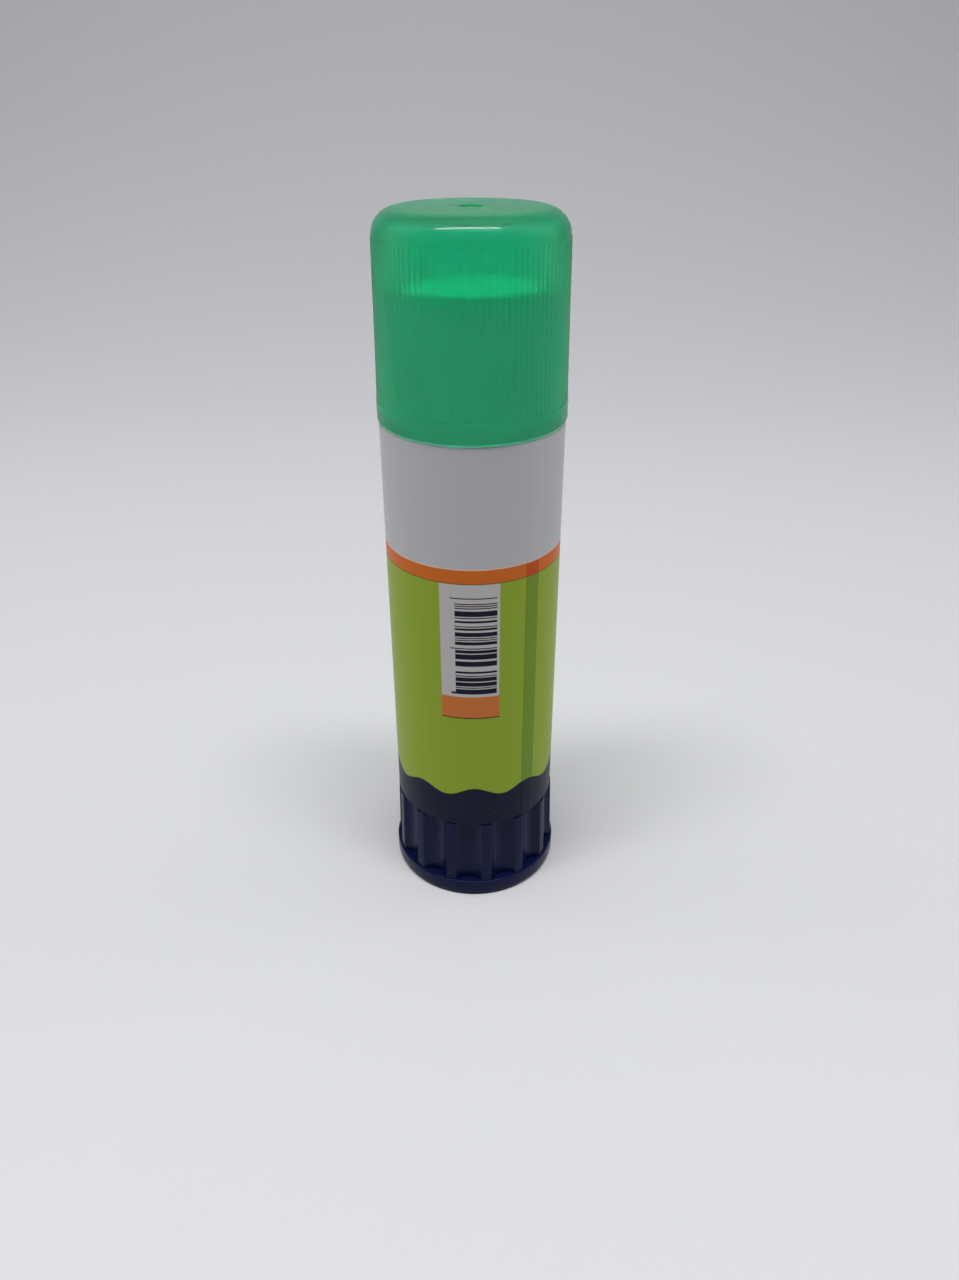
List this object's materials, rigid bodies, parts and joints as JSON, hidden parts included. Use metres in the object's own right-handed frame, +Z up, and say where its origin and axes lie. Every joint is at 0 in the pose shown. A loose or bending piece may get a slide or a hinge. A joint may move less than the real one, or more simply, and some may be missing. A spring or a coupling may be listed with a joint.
{
  "type": "glue stick",
  "caption": "Twist-up glue stick: wrapped tube, fluted turning knob with screw spindle, carrier and glue column, translucent ribbed push-on cap.",
  "frame": {"origin": "middle of the base, on the surface that the stick stands on", "axes": "+Z up along the tube, towards the cap; -Y is the front, with the printed panel"},
  "size_m": [0.0318, 0.0316, 0.1213],
  "materials": {
    "tube_white": "moulded white polypropylene, satin",
    "printed_film": "printed film, satin, in navy, lime, orange and white",
    "knob_navy": "moulded navy polypropylene, semi-gloss",
    "natural_plastic": "moulded natural polypropylene, satin",
    "glue": "waxy off-white glue paste",
    "cap_green": "moulded translucent green polypropylene, semi-gloss, fine ribs"
  },
  "bodies": {
    "barrel": {"barrel": "tube_white", "label": "printed_film"},
    "knob": {"knob": "knob_navy", "lead_screw": "natural_plastic"},
    "carrier": {"carrier": "natural_plastic", "glue_column": "glue"},
    "cap": {"cap": "cap_green"}
  },
  "joints": [
    {"name": "paste_rise", "type": "slide", "parent": "barrel", "child": "carrier", "axis": [0, 0, 1], "range_m": [0, 0.084]},
    {"name": "knob_turn", "type": "hinge", "parent": "barrel", "child": "knob", "pos_m": [0, 0, 0.0085], "axis": [0, 0, -1], "range_deg": [0, 5041]},
    {"name": "cap_pull", "type": "slide", "parent": "carrier", "child": "cap", "axis": [0, 0, 1], "range_m": [0, 0.034]}
  ],
  "couplings": [
    {"joint": "knob_turn", "follows": "paste_rise", "rad_per_m": 1047.2}
  ]
}
